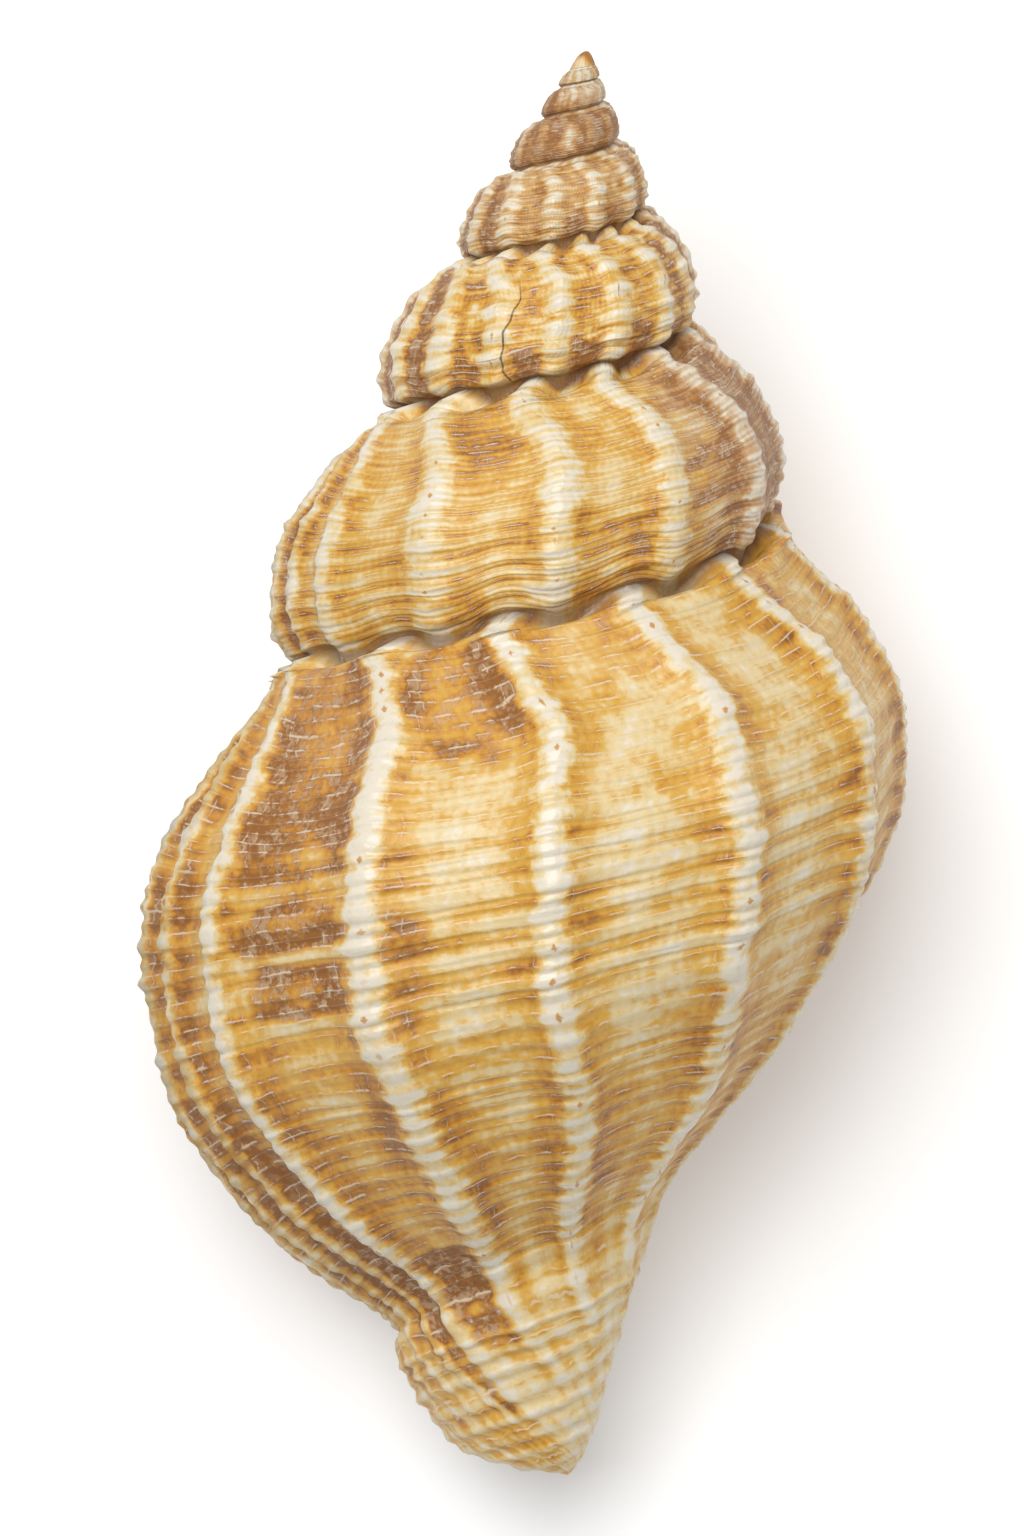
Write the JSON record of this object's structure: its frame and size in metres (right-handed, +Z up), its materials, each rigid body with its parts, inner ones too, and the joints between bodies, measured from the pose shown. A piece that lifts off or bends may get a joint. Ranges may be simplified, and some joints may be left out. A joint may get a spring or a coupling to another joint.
{
  "type": "whelk shell",
  "caption": "Spiral whelk shell with a tall ribbed spire, a broad body whorl, an open mouth and a short open canal, lying mouth down.",
  "frame": {"origin": "middle of the shell's outline seen from above, on the ground it lies on", "axes": "+Y along the shell towards the apex, +Z up out of the shell's back, +X to the right seen from above with the apex away"},
  "size_m": [0.048, 0.0888, 0.0408],
  "materials": {
    "shell": "dull satin lime shell, ivory with honey and brown staining, smooth cream inside the mouth"
  },
  "bodies": {
    "root": {"shell": "shell"}
  },
  "joints": []
}
